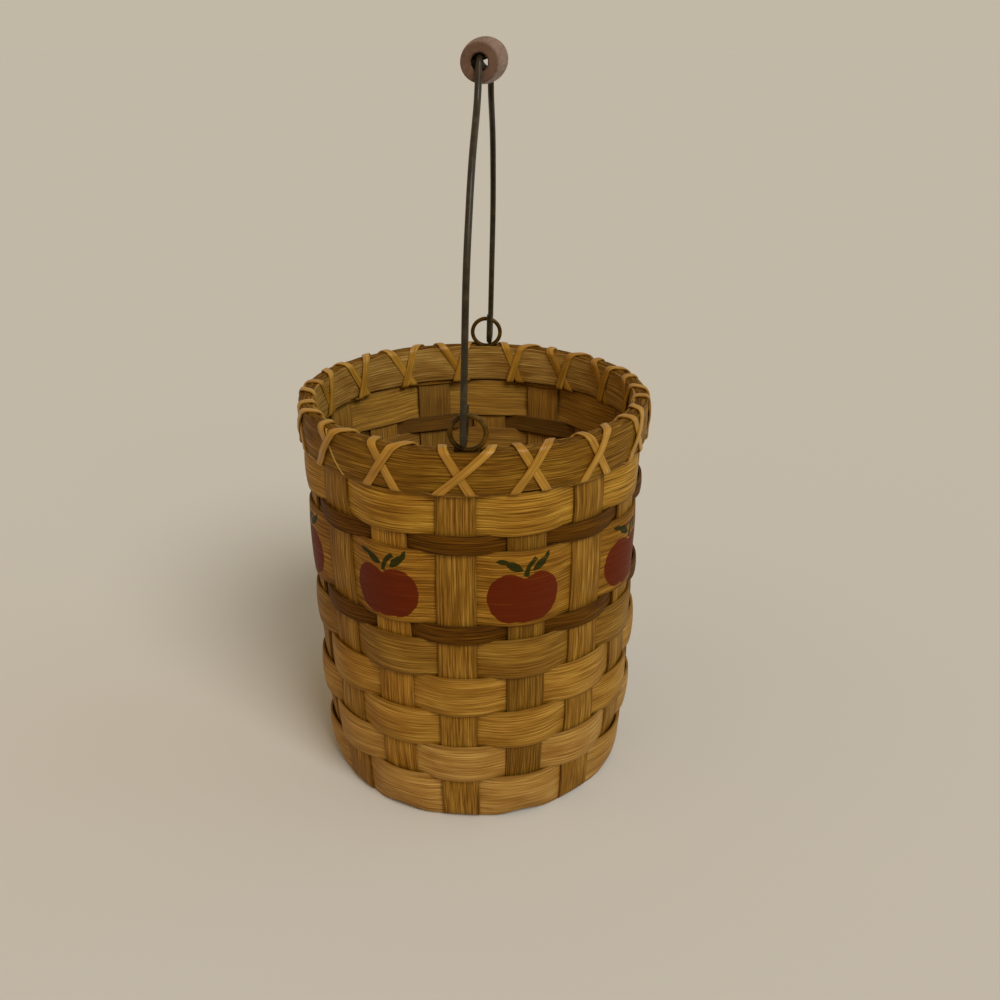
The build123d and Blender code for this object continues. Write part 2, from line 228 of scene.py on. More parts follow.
def add(tree, kind, inputs, **settings):
    """Add a node. inputs maps a socket's name or number to a value or to another node's output."""
    made = tree.nodes.new("ShaderNode" + kind)
    for key, value in settings.items():
        setattr(made, key, value)
    for key, value in inputs.items():
        if isinstance(value, bpy.types.NodeSocket):
            tree.links.new(value, made.inputs[key])
        else:
            made.inputs[key].default_value = value
    return made


def calc(tree, operation, *values):
    """One arithmetic step on numbers or outputs."""
    return add(tree, "Math", dict(enumerate(values)), operation=operation).outputs[0]


def vector(tree, operation, *values):
    """One vector step on vectors or outputs."""
    made = add(tree, "VectorMath", dict(enumerate(values)), operation=operation)
    return made.outputs["Value"] if operation == "LENGTH" else made.outputs["Vector"]


def fade(tree, value, start, end):
    """A smooth ramp: 0 where the value is at start, 1 where it is at end."""
    inputs = {"Value": value, "From Min": start, "From Max": end}
    return add(tree, "MapRange", inputs, interpolation_type="SMOOTHSTEP").outputs["Result"]


def slope(tree, value, first, last, start=0.0, end=1.0):
    """A straight ramp: first where the value is at start, last where it is at end."""
    inputs = {"Value": value, "From Min": start, "From Max": end, "To Min": first, "To Max": last}
    return add(tree, "MapRange", inputs).outputs["Result"]


def mix(tree, share, first, second, way="MIX"):
    """Mix two colours."""
    inputs = {0: share, 6: first, 7: second}
    return add(tree, "Mix", inputs, data_type="RGBA", blend_type=way).outputs[2]


def ramp(tree, value, *stops):
    """A colour ramp from pairs of place and colour."""
    made = add(tree, "ValToRGB", {"Fac": value})
    elements = made.color_ramp.elements
    while len(elements) < len(stops):
        elements.new(0.5)
    for element, (place, colour) in zip(elements, stops):
        element.position = place
        element.color = colour
    return made.outputs["Color"]


def new_group(name, inputs, outputs):
    """An empty shader group with named sockets, as a tree, its inputs and its output node."""
    tree = bpy.data.node_groups.new(name, "ShaderNodeTree")
    for label, kind in inputs:
        tree.interface.new_socket(name=label, in_out="INPUT", socket_type="NodeSocket" + kind)
    for label in outputs:
        tree.interface.new_socket(name=label, in_out="OUTPUT", socket_type="NodeSocketFloat")
    return tree, tree.nodes.new("NodeGroupInput").outputs, tree.nodes.new("NodeGroupOutput").inputs


def new_material(name):
    """A material with its tree and its empty Principled shader."""
    material = bpy.data.materials.new(name)
    material.use_nodes = True
    return material, material.node_tree, material.node_tree.nodes["Principled BSDF"]


def join_surface(tree, shader, colour, rough, relief, shine):
    """Feed a shader with a colour, a roughness and a relief: a height, its strength and its depth."""
    height, strength, depth = relief
    bump = add(tree, "Bump", {"Strength": strength, "Distance": depth, "Height": height})
    tree.links.new(colour, shader.inputs["Base Color"])
    tree.links.new(rough, shader.inputs["Roughness"])
    tree.links.new(bump.outputs["Normal"], shader.inputs["Normal"])
    shader.inputs["Specular IOR Level"].default_value = shine


# %% [markdown]
# ## Reed grain
# Reed is the core of a rattan vine, so its face is all long parallel fibres with darker pores between
# them. Noise that is stretched a long way along the strip gives those lines. The group puts out three
# masks: long streaks, broad patches of stain, and a relief for the bump. Every reed and cane finish
# uses it with its own spacing, so the strips are one family.

# %% Reed grain group
# Each layer of fibres: how close they lie along and across the strip, and their detail.
fibre_layers = ((1.0, 1.0, 3.0), (2.6, 2.1, 2.0))
patch_scale = (0.045, 0.11, 1.0)
face_ease = 0.2 * MM


def make_reed_grain():
    """Streaks, patches and relief of split reed, from millimetres along and across the strip."""
    inputs = [("Place", "Vector"), ("Spacing", "Float"), ("Length", "Float"), ("Contrast", "Float")]
    tree, given, result = new_group("Reed grain", inputs, ["Streaks", "Patches", "Relief"])
    lines = []
    for along, across, detail in fibre_layers:
        stretch = add(tree, "CombineXYZ", {
            "X": calc(tree, "DIVIDE", along, given["Length"]),
            "Y": calc(tree, "DIVIDE", across, given["Spacing"]),
        }).outputs[0]
        place = vector(tree, "MULTIPLY", given["Place"], stretch)
        inputs = {"Vector": place, "Scale": 1.0, "Detail": detail, "Roughness": 0.6, "Distortion": 0.15}
        lines.append(add(tree, "TexNoise", inputs).outputs["Fac"])
    both = calc(tree, "MULTIPLY_ADD", lines[1], 0.5, calc(tree, "MULTIPLY", lines[0], 0.5))
    sharp = calc(tree, "MULTIPLY_ADD", calc(tree, "SUBTRACT", both, 0.5), given["Contrast"], 0.5)
    place = vector(tree, "MULTIPLY", given["Place"], patch_scale)
    patches = add(tree, "TexNoise", {"Vector": place, "Scale": 1.0, "Detail": 2.0, "Roughness": 0.5})
    tree.links.new(add(tree, "Clamp", {"Value": sharp}).outputs[0], result["Streaks"])
    tree.links.new(fade(tree, patches.outputs["Fac"], 0.3, 0.7), result["Patches"])
    tree.links.new(both, result["Relief"])
    return tree


def make_strip_edge():
    """A mask that is 1 along both long edges of a strip and 0 over its middle."""
    tree, given, result = new_group("Strip edge", [("Share", "Vector"), ("Start", "Float")], ["Edge"])
    across = add(tree, "SeparateXYZ", {0: given["Share"]}).outputs["Y"]
    offset = calc(tree, "ABSOLUTE", calc(tree, "MULTIPLY_ADD", across, 2.0, -1.0))
    tree.links.new(fade(tree, offset, given["Start"], 1.0), result["Edge"])
    return tree


reed_grain = make_reed_grain()
strip_edge = make_strip_edge()


def grain_nodes(tree, spacing, length, contrast):
    """Place the reed grain group in a material, read from the strip's own UV map."""
    place = add(tree, "UVMap", {}, uv_map="Grain").outputs["UV"]
    inputs = {"Place": place, "Spacing": spacing, "Length": length, "Contrast": contrast}
    return add(tree, "Group", inputs, node_tree=reed_grain).outputs


def edge_mask(tree, start):
    """Place the strip edge group in a material."""
    share = add(tree, "UVMap", {}, uv_map="Share").outputs["UV"]
    return add(tree, "Group", {"Share": share, "Start": start}, node_tree=strip_edge).outputs["Edge"]


def outer_face(tree):
    """A mask that is 1 on the side of a strip that faces away from the basket's axis."""
    flat = vector(tree, "MULTIPLY", add(tree, "TexCoord", {}).outputs["Object"], (1, 1, 0))
    middle_reach = add(tree, "Attribute", {}, attribute_name="Reach").outputs["Fac"]
    above = calc(tree, "SUBTRACT", vector(tree, "LENGTH", flat), middle_reach)
    return fade(tree, above, 0.0, face_ease)


print("shader groups:", [group.name for group in bpy.data.node_groups])

# %% [markdown]
# ## Finishes of the reed and cane
# The reed was stained and varnished: honey on the weavers, duller and more streaked on the stakes and
# the outer rim band, paler on the inner band, which is painted light on the inside, dark brown on the two
# narrow rows, and clear gold on the smooth lashing cane. One function makes them all from three colours,
# a stain colour and the grain's measures. Edges are darker, partly from stain that gathers there and
# partly as painted shade where one strip meets the next, and the inner side is paler, partly as the
# rough side of the reed and partly as painted light inside the basket.

# %% Reed finishes
# The pale tone of the inner side is partly the rough side of the reed and partly painted light inside the
# basket.
rough_side_and_light_tone = tone(176, 138, 78)
streak_stops = (0.12, 0.5, 0.9)
reed_edge_start, edge_stain_and_shade_share = 0.72, 0.4
relief_depth = 0.4 * MM
# Shares of a band's length where the bare fibres at its cut end start to show, and where they show in full.
cut_end_shares = (0.0036, 0.0020)


def stained_reed(tree, grain, colours, stain, stain_share, edge_start, inner_share):
    """The colour of stained reed: streaks, patches of stain, edges dark with stain and painted shade, and an
    inner side pale from its roughness and painted light.
    """
    colour = ramp(tree, grain["Streaks"], *zip(streak_stops, colours))
    colour = mix(tree, calc(tree, "MULTIPLY", grain["Patches"], stain_share), colour, stain, "MULTIPLY")
    # Darker edges: stain that gathers there, and painted shade where one strip meets the next.
    edge = calc(tree, "MULTIPLY", edge_mask(tree, edge_start), edge_stain_and_shade_share)
    colour = mix(tree, edge, colour, colours[0])
    # The inner side is paler: the reed's rough side, and painted light inside the basket.
    rough_side_and_light = calc(tree, "SUBTRACT", 1.0, outer_face(tree))
    return mix(tree, calc(tree, "MULTIPLY", rough_side_and_light, inner_share), colour, rough_side_and_light_tone)


def reed_finish(name, colours, stain, grain, stain_share, gloss, relief, inner_share=0.0, cut_end=None):
    """A stained reed: colours are dark, middle and light, gloss the least and most roughness and the shine.

    grain is the spacing, length and contrast of the fibres, inner_share how much of the pale tone, for the
    rough side and painted light, the inner side has, and cut_end the colour of the bare fibres at an end that
    shows.
    """
    material, tree, shader = new_material(name)
    grain = grain_nodes(tree, *grain)
    colour = stained_reed(tree, grain, colours, stain, stain_share, reed_edge_start, inner_share)
    if cut_end:
        share = add(tree, "UVMap", {}, uv_map="Share").outputs["UV"]
        along = add(tree, "SeparateXYZ", {0: share}).outputs["X"]
        colour = mix(tree, fade(tree, along, *cut_end_shares), colour, cut_end)
    rough = slope(tree, grain["Streaks"], gloss[1], gloss[0])
    join_surface(tree, shader, colour, rough, (grain["Relief"], relief, relief_depth), gloss[2])
    return material


# %% Honey reed of the plain rows
wall_grain, gold_grain = (0.7, 45, 2.4), (0.65, 45, 2.9)
wall_gloss, wall_relief = (0.42, 0.58, 0.1), 0.7
honey_stain, honey_stain_share = tone(206, 180, 120), 0.6


def honey_finish(name, colours, grain=wall_grain, inner_share=0.0):
    """The honey-coloured reed of the plain rows."""
    return reed_finish(
        name, colours, honey_stain, grain, honey_stain_share, wall_gloss, wall_relief, inner_share)


honey = tone(98, 63, 8), tone(152, 110, 36), tone(200, 157, 76)
honey_reed = honey_finish("honey reed", honey)
# The two lowest rows get a paler copy of the honey, painted light that makes the wall lighter towards the
# floor, and the fifth row a deeper copy, painted shade.
painted_light_honey = tone(108, 74, 26), tone(163, 122, 56), tone(206, 166, 94)
painted_light_honey_reed = honey_finish("honey reed with painted light", painted_light_honey)
painted_shade_honey = tone(80, 50, 4), tone(131, 94, 27), tone(178, 138, 60)
painted_shade_honey_reed = honey_finish("honey reed with painted shade", painted_shade_honey)
gold_honey = tone(94, 59, 4), tone(155, 113, 31), tone(210, 165, 72)
gold_honey_reed = honey_finish("gold honey reed", gold_honey, gold_grain, inner_share=0.2)

# %% Reed of the stakes, the base and the brown rows
stake_grain, stake_gloss = (0.65, 40, 2.6), (0.44, 0.6, 0.08)
stake_stain, stake_stain_share = tone(200, 175, 115), 0.5


def stake_finish(name, *colours):
    """The duller reed of the stakes, a little paler on its inner side, from its roughness and from painted
    light.
    """
    return reed_finish(
        name, colours, stake_stain, stake_grain, stake_stain_share, stake_gloss, wall_relief,
        inner_share=0.15)


stake_reed = stake_finish("stake reed", tone(79, 49, 5), tone(133, 93, 25), tone(187, 145, 66))
deep_stake_reed = stake_finish("deep stake reed", tone(68, 42, 4), tone(114, 79, 19), tone(160, 120, 48))
pale_stake_reed = stake_finish("pale stake reed", tone(88, 55, 7), tone(147, 103, 29), tone(200, 155, 72))
base_reed = reed_finish(
    "base reed", honey, stake_stain, wall_grain, stain_share=0.6, gloss=stake_gloss, relief=0.6)
brown = tone(42, 22, 0), tone(82, 49, 2), tone(116, 75, 12)
brown_stain = tone(206, 190, 150)
brown_grain, brown_gloss = (0.6, 40, 3.0), (0.5, 0.64, 0.06)
brown_reed = reed_finish(
    "brown reed", brown, brown_stain, brown_grain, stain_share=0.4, gloss=brown_gloss, relief=0.5,
    inner_share=0.12)

# %% Reed and cane of the rim
rim_grain, rim_gloss = (0.65, 40, 2.9), (0.44, 0.62, 0.07)
rim_stain, rim_stain_share = tone(190, 160, 104), 0.6
rim_tones = tone(72, 45, 2), tone(122, 85, 17), tone(170, 128, 47)
rim_cut = tone(196, 156, 76)
rim_reed = reed_finish(
    "rim reed", rim_tones, rim_stain, rim_grain, rim_stain_share, rim_gloss, wall_relief, cut_end=rim_cut)
# The inner band is a paler copy of the rim reed: painted light on the inside of the basket.
painted_light_rim = tone(102, 70, 20), tone(160, 123, 58), tone(206, 168, 96)
painted_light_rim_reed = reed_finish(
    "rim reed with painted light", painted_light_rim, rim_stain, rim_grain, rim_stain_share, rim_gloss, wall_relief)
filler_tones = tone(58, 35, 4), tone(106, 72, 18), tone(156, 116, 46)
filler_grain, filler_gloss = (0.5, 14, 3.0), (0.55, 0.75, 0.06)
filler_reed = reed_finish(
    "rim filler fibre", filler_tones, rim_stain, filler_grain, stain_share=0.7, gloss=filler_gloss,
    relief=1.0)
cane = tone(124, 84, 18), tone(167, 123, 40), tone(200, 156, 72)
cane_stain = tone(206, 180, 124)
cane_grain, cane_gloss = (0.9, 60, 2.2), (0.3, 0.44, 0.24)
lashing_cane = reed_finish(
    "lashing cane", cane, cane_stain, cane_grain, stain_share=0.5, gloss=cane_gloss, relief=0.3)
print("reed finishes:", [material.name for material in bpy.data.materials if material.users == 0])

# %% [markdown]
# ## The stencilled apple
# Each run of the wide band that passes outside a stake carries one painted apple: a lobed red body, a
# curved stem and two pointed leaves, a common stencil of country kitchens. It could be modelled as a
# thin shape, but paint has no thickness that shows, so it is a mask in the band's own UV space. The
# body is three ellipses drawn together, and a leaf is the overlap of two circles.

# %% Stencilled apple group
# Millimetres from the middle of a repeat and from the band's lower edge. A lobe and the two circles of the
# stem are a centre and two radii. A leaf is a centre, a length, a width and a turn in degrees, and each of
# the two leaves has a narrower tip.
apple_shift, apple_middle = 1.5, 13
left_lobe, right_lobe = ((-5.9, 12.3), (8.8, 10.6)), ((5.6, 12.5), (8.8, 10.5))
low_middle = ((0.0, 9.2), (9.5, 7.6))
lobe_blend = 1.8
stem_bow, stem_ground = ((9.1, 21.3), (8.8, 8.8)), ((2.0, 25.7), (4.3, 4.3))
stem_half_width = 0.95
left_leaves = [((-4.3, 26.1), 8.0, 3.5, -26), ((-8.3, 27.9), 6.4, 2.0, -10)]
right_leaves = [((6.3, 26.4), 8.2, 3.3, 42), ((9.0, 28.8), 5.0, 1.9, 66)]
paint_edge = 0.18
# The lean is in radians, and its beat makes neighbouring apples lean unlike each other.
apple_lean, lean_beat = 0.07, 2.3


def ellipse(tree, place, centre, radii):
    """Distance outside an ellipse, about in millimetres."""
    offset = vector(tree, "DIVIDE", vector(tree, "SUBTRACT", place, (*centre, 0)), (*radii, 1))
    share = calc(tree, "SUBTRACT", vector(tree, "LENGTH", offset), 1.0)
    return calc(tree, "MULTIPLY", share, min(radii))


def leaf(tree, place, centre, length, width, turn):
    """Distance outside a leaf that is pointed at both ends, in millimetres."""
    inputs = {"Vector": place, "Center": (*centre, 0), "Angle": math.radians(-turn)}
    turned = add(tree, "VectorRotate", inputs, rotation_type="Z_AXIS").outputs[0]
    radius = (length ** 2 + width ** 2) / (4 * width)
    sides = []
    for side in (-1, 1):
        middle = (centre[0], centre[1] + side * (radius - width / 2), 0)
        sides.append(vector(tree, "LENGTH", vector(tree, "SUBTRACT", turned, middle)))
    return calc(tree, "SUBTRACT", calc(tree, "MAXIMUM", *sides), radius)


def make_stencilled_apple():
    """Masks of the apple's body and of its stem and leaves, repeated along a strip."""
    inputs = [("Place", "Vector"), ("Repeat", "Float")]
    tree, given, result = new_group("Stencilled apple", inputs, ["Body", "Leaves"])
    parts = add(tree, "SeparateXYZ", {0: given["Place"]}).outputs
    turns = calc(tree, "DIVIDE", parts["X"], given["Repeat"])
    number = calc(tree, "FLOOR", turns)
    share = calc(tree, "SUBTRACT", calc(tree, "FRACT", turns), 0.5)
    offset = calc(tree, "MULTIPLY_ADD", share, given["Repeat"], apple_shift)
    spot = add(tree, "CombineXYZ", {"X": offset, "Y": parts["Y"]}).outputs[0]
    lean = calc(tree, "MULTIPLY", calc(tree, "SINE", calc(tree, "MULTIPLY", number, lean_beat)), apple_lean)
    inputs = {"Vector": spot, "Center": (0, apple_middle, 0), "Angle": lean}
    spot = add(tree, "VectorRotate", inputs, rotation_type="Z_AXIS").outputs[0]
    inputs = {"Vector": given["Place"], "Scale": 0.3, "Detail": 1.0}
    ragged = vector(tree, "SUBTRACT", add(tree, "TexNoise", inputs).outputs["Color"], (0.5, 0.5, 0.5))
    spot = vector(tree, "ADD", spot, vector(tree, "MULTIPLY", ragged, (1.0, 1.0, 0)))
    spot = vector(tree, "MULTIPLY", spot, (1, 1, 0))
    lobes = [ellipse(tree, spot, *lobe) for lobe in (left_lobe, right_lobe)]
    body = calc(tree, "SMOOTH_MIN", *lobes, lobe_blend)
    body = calc(tree, "MINIMUM", body, ellipse(tree, spot, *low_middle))
    bow = calc(tree, "ABSOLUTE", ellipse(tree, spot, *stem_bow))
    stem = calc(tree, "SUBTRACT", bow, stem_half_width)
    green = calc(tree, "MAXIMUM", stem, ellipse(tree, spot, *stem_ground))
    for shape in left_leaves + right_leaves:
        green = calc(tree, "MINIMUM", green, leaf(tree, spot, *shape))
    tree.links.new(fade(tree, body, paint_edge, -paint_edge), result["Body"])
    tree.links.new(fade(tree, green, paint_edge, -paint_edge), result["Leaves"])
    return tree


stencilled_apple = make_stencilled_apple()
print("stencil sockets:", [socket.name for socket in stencilled_apple.interface.items_tree])

# %% Painted splint
splint_tones = tone(80, 47, 2), tone(134, 92, 21), tone(188, 141, 56)
splint_grain, splint_gloss = (0.65, 50, 2.9), (0.42, 0.58, 0.08)
splint_relief = 0.45
apple_red = tone(80, 23, 0), tone(100, 36, 2)
leaf_green = tone(28, 27, 0), tone(52, 49, 6)
paint_stops = (0.3, 0.7)
# Paint wears off the highest streaks: where that starts, and how much goes at most.
wear_start, wear_share = 0.8, 0.22


def painted_splint_finish(repeat):
    """Honey reed with one apple per repeat, a length in millimetres."""
    material, tree, shader = new_material("painted splint")
    grain = grain_nodes(tree, *splint_grain)
    colour = stained_reed(
        tree, grain, splint_tones, honey_stain, honey_stain_share, edge_start=0.85, inner_share=0.2)
    place = add(tree, "UVMap", {}, uv_map="Grain").outputs["UV"]
    masks = add(tree, "Group", {"Place": place, "Repeat": repeat}, node_tree=stencilled_apple).outputs
    wear = calc(tree, "MULTIPLY", fade(tree, grain["Streaks"], wear_start, 1.0), wear_share)
    cover = calc(tree, "MULTIPLY", calc(tree, "SUBTRACT", 1.0, wear), outer_face(tree))
    for mask, tones in (("Body", apple_red), ("Leaves", leaf_green)):
        paint = ramp(tree, grain["Relief"], *zip(paint_stops, tones))
        colour = mix(tree, calc(tree, "MULTIPLY", masks[mask], cover), colour, paint)
    rough = slope(tree, grain["Streaks"], splint_gloss[1], splint_gloss[0])
    join_surface(tree, shader, colour, rough, (grain["Relief"], splint_relief, relief_depth), splint_gloss[2])
    return material


# %% [markdown]
# ## Rows of the wall
# A weaver passes outside one stake and inside the next. Its middle line is one arc per stake, and the
# arcs meet with a common slope half way between two stakes, as springy reed does. The slope fixes the
# radius where they meet, which a short loop finds. Each row starts behind a stake at the front, so its
# seam is out of sight, and the apples of the painted band sit half way along each repeat. The rows
# are beaten down hard, so their edges spread a little and lap over the next row's edge. The lowest row
# reaches almost to the floor, but where it passes over a stake its edge draws in and up, which rounds
# the basket's foot. The hidden row in the rim is a little taller than its solid, and closes the slot
# that the lashing passes through.

# %% Weave wave
def meeting_radius(outer_peak, inner_peak):
    """Radius where the outer and the inner arc of a weaver meet without a kink."""
    half = PITCH / 2
    meeting = (outer_peak + inner_peak) / 2
    for _ in range(40):
        swing = (outer_peak - inner_peak) / (meeting * math.sin(half))
        turn = math.atan(swing / 2) + math.asin(swing * math.cos(half) / math.hypot(2, swing))
        meeting = outer_peak / (math.cos(half) + math.sin(half) * math.tan((half + turn) / 2))
    return meeting


def arc_radius(turn, peak, meeting):
    """Radius, at a turn from a peak, of the arc through the peak and its two meeting points."""
    centre = (peak ** 2 - meeting ** 2) / (2 * (peak - meeting * math.cos(PITCH / 2)))
    side = 1 if centre < peak else -1
    return centre * math.cos(turn) + side * math.sqrt((peak - centre) ** 2 - (centre * math.sin(turn)) ** 2)


# %% Rows
INSIDE, OUTSIDE = 0, 1
wall_rows = [
    ("weaver_row_1", INSIDE), ("weaver_row_2", OUTSIDE), ("weaver_row_3", INSIDE),
    ("weaver_row_4", OUTSIDE), ("weaver_row_5", INSIDE), ("lower_brown_weaver", OUTSIDE),
    ("apple_band", INSIDE), ("upper_brown_weaver", OUTSIDE), ("top_row_weaver", INSIDE),
]
# Rows 1 and 2 take the honey with painted light, row 5 the honey with painted shade.
row_reeds = {
    "weaver_row_1": painted_light_honey_reed, "weaver_row_2": painted_light_honey_reed, "weaver_row_5": painted_shade_honey_reed,
    "top_row_weaver": gold_honey_reed,
}
row_cells = (STAKES * 14, 8)
row_bulge, brown_bulge = 0.7 * MM, 0.35 * MM
inner_bulge_share = 0.3
row_spread, brown_spread = 0.65 * MM, 0.4 * MM
meeting_spread = 0.22 * MM
lowest_spread = 2.6 * MM
rim_row_spread = 1.8 * MM
rim_row_thickness = 0.8 * MM
foot_tuck = (1.6 * MM, 2.2 * MM)
edge_wander = 0.3 * MM
edge_tolerance = 0.01 * MM
weave_slack = 1.015


def edge_line(angle, joint):
    """How far the line where two rows meet rises or dips. Both rows follow it."""
    slow = ring_wander(edge_wander, angle, 2.5, 5.3 * joint + 20)
    return slow + ring_wander(edge_wander, angle, 6, 5.3 * joint)


def row_place(node, phase, thickness, bulge, low_spread, high_spread, joint, tuck=(0, 0)):
    """The middle surface of a woven row, whose lower edge lies on a joint and its upper edge on the next.

    bulge is how far its width arches out over a stake. A spread is how far an edge laps over its
    neighbour, first at a stake and then where the two rows cross. tuck is how far the lower edge draws
    in and up over a stake.
    """
    low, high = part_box(node)[0].z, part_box(node)[1].z
    radii = []
    for level in (low, high):
        edge = [reach(point) for point in node_points(node) if abs(point.z - level) < edge_tolerance]
        radii.append(Vector((max(edge) - thickness / 2, min(edge) + thickness / 2)))
    outer_peak, inner_peak = (radii[0] + radii[1]) / 2
    lean = radii[1].x - radii[0].x
    meeting = meeting_radius(outer_peak, inner_peak)
    start = first_angle + (PITCH if phase == OUTSIDE else 0)

    def place(s, t):
        turns = s * STAKES
        nearest = round(turns)
        peak = outer_peak if nearest % 2 == 1 else inner_peak
        angle = start + turns * PITCH
        radius = arc_radius((turns - nearest) * PITCH, peak, meeting)
        over = 0.5 - 0.5 * math.cos(math.pi * turns)
        arch = bulge * (inner_bulge_share + (1 - inner_bulge_share) * over) * crown(t)
        radius += arch + lean * (t - 0.5) - tuck[0] * over * (1 - t) ** 2
        beside = math.sqrt(abs(math.cos(math.pi * turns)))
        bottom = low - low_spread[1] - beside * (low_spread[0] - low_spread[1]) + edge_line(angle, joint)
        bottom += tuck[1] * over ** 3
        top = high + high_spread[1] + beside * (high_spread[0] - high_spread[1]) + edge_line(angle, joint + 1)
        return polar(radius, angle, bottom + t * (top - bottom))

    length = math.tau * (outer_peak + inner_peak) / 2 * weave_slack
    return place, (length, high - low)


for number, (row, phase) in enumerate(wall_rows):
    bulge, spread = (brown_bulge, brown_spread) if "brown" in row else (row_bulge, row_spread)
    low_spread = high_spread = (spread, meeting_spread)
    tuck = (0, 0)
    if row == "weaver_row_1":
        low_spread, tuck = (lowest_spread, lowest_spread), foot_tuck
    if row == "top_row_weaver":
        high_spread = (row_spread, row_spread)
    place, size = row_place(row, phase, reed_thickness, bulge, low_spread, high_spread, number, tuck)
    look = (row_reeds.get(row, honey_reed), "light_reed")
    if "brown" in row:
        look = (brown_reed, "brown_reed")
    if row == "apple_band":
        look = (painted_splint_finish(size[0] / STRIPS / MM), "painted_splint")
    seed = 0 if row == "apple_band" else number * 0.731
    strip(row + "_reed", place, row_cells, size, seed, look, [row])
spread = (rim_row_spread, rim_row_spread)
place, size = row_place("rim_row", OUTSIDE, rim_row_thickness, 0.0, spread, spread, len(wall_rows))
look = (honey_reed, "light_reed")
strip("rim_row_reed", place, row_cells, size, 6.1, look, ["rim_row"], rim_row_thickness)
print("rows:", len(wall_rows) + 1)

# %% [markdown]
# ## Stakes
# A stake is half of a long strip that runs down one side of the wall, across under the base and up the
# other side. Its path is a short list of folds, softened by averaging over a small stretch, since reed
# that was bent wet has no sharp corners. On the wall each stake gives way a little to the weavers: it
# is pressed in where a row passes outside, and stands out where a row passes inside. Every second strip
# has the lowest row outside both of its feet, and they are drawn in with that row's edge.

# %% Stakes
stake_cells = (420, 6)
stake_give = 0.35 * MM
stake_crown = 0.55 * MM
fold_softness = 2.6 * MM
wall_start, wall_ease = 4 * MM, 10 * MM
width_wander, drift_wander = 0.35 * MM, 0.8 * MM
row_levels = []
for row, phase in wall_rows:
    row_levels.append(((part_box(row)[0].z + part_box(row)[1].z) / 2, phase))
wall_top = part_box("top_row_weaver")[1].z


def stake_folds(node, tuck=0.0):
    """Half of a strip's middle line seen edge-on, from the axis to the tip. tuck draws its foot in."""
    crossing = [point.z for point in node_points(node) if reach(point) < stack_radius + MM]
    half = reed_thickness / 2
    stack = min(crossing) + half
    return [
        Vector((0, stack)), Vector((stack_radius, stack)), Vector((slope_radius, dome_height + half)),
        Vector((dome_edge, dome_height + half)), Vector((foot_inner, half)),
        Vector((foot_radius - tuck, half)), Vector((belly_radius, belly_height)),
        Vector((wall_radius, wall_top)), Vector((wall_radius, stake_top)),
    ]


def along_folds(folds, distance):
    """The point at a distance along a folded line."""
    for start, end in zip(folds, folds[1:]):
        step = (end - start).length
        if distance <= step or end is folds[-1]:
            return start.lerp(end, min(distance / step, 1))
        distance -= step


def half_width(place):
    """Half the width of a strip at a distance from the axis: it narrows to a waist at the crossing."""
    share = min(max((place - stack_radius) / (dome_edge - stack_radius), 0), 1)
    return (waist_width + share * (stake_width - waist_width)) / 2


def stake_bow(height, arm):
    """How far the wall part of a stake stands out at a height: the rows push it in and out."""
    levels = [(0.0, 0.0)]
    for level, phase in row_levels:
        levels.append((level, -stake_give if (arm + phase) % 2 == 1 else stake_give))
    levels.append((wall_top, 0.0))
    for (low, first), (high, second) in zip(levels, levels[1:]):
        if height <= high:
            return first + ease((height - low) / (high - low)) * (second - first)
    return 0.0


def stake_place(number):
    """The middle surface of one strip, tip to tip."""
    folds = stake_folds(f"stake_{number + 1}", foot_tuck[0] if number % 2 == 1 else 0.0)
    half_length = sum((end - start).length for start, end in zip(folds, folds[1:]))
    heading = first_angle + number * PITCH
    outwards, sideways = polar(1, heading, 0), polar(1, heading + math.pi / 2, 0)

    def place(s, t):
        side = 1 if s >= 0.5 else -1
        distance = abs(2 * s - 1) * half_length
        window = min(fold_softness, distance, half_length - distance)
        spots = [along_folds(folds, distance + window * step) for step in (-1, -0.5, 0, 0.5, 1)]
        spot = sum(spots, Vector((0, 0))) / len(spots)
        arm = number if side > 0 else number + STRIPS
        on_wall = ease((spot.y - wall_start) / wall_ease)
        bow = on_wall * stake_bow(spot.y, arm) + stake_crown * ease(spot.y / wall_start) * crown(t)
        width = half_width(spot.x) + on_wall * wander(width_wander, spot.y * 30, arm * 1.7, 0.4)
        drift = on_wall * wander(drift_wander, spot.y * 12, arm * 2.9, 0.8)
        across = (2 * t - 1) * width + drift
        return outwards * side * (spot.x + bow) + sideways * across + Vector((0, 0, spot.y))

    return place, (2 * half_length, stake_width)


stake_reeds = {"stake_2": deep_stake_reed, "stake_8": pale_stake_reed}
for number in range(STRIPS):
    place, size = stake_place(number)
    name = f"stake_{number + 1}"
    look = (stake_reeds.get(name, stake_reed), "stake_reed")
    strip(name + "_reed", place, stake_cells, size, number * 0.937, look, [name], closed=False)
print("stakes:", STAKES, "from", STRIPS, "strips")

# %% [markdown]
# ## Base rounds
# Six rounds of narrow reed lock the crossed strips of the base. A round is a flat ring that lies over
# one strip and under the next, so only its height changes along its length. It stays level over the
# width of a strip and eases to the next one in the gap between two strips.

# %% Base rounds
round_cells = (STAKES * 12, 3)
base_round_count = 6
base_round_thickness = 1.0 * MM
stack_heights = []
for number in range(STRIPS):
    stack_heights.append(stake_folds(f"stake_{number + 1}")[0].y - reed_thickness / 2)


def strip_underside(arm, place):
    """Height of a strip's underside in the base, at a distance from the axis."""
    stack = stack_heights[arm % STRIPS]
    share = min(max((place - stack_radius) / (slope_radius - stack_radius), 0), 1)
    return stack + share * (dome_height - stack)


def round_height(arm, number, radius):
    """Height of a round's middle where it lies over or under an arm."""
    underside = strip_underside(arm, radius)
    if (arm + number) % 2 == 0:
        return underside + reed_thickness + weave_clearance + base_round_thickness / 2
    return underside - weave_clearance - base_round_thickness / 2


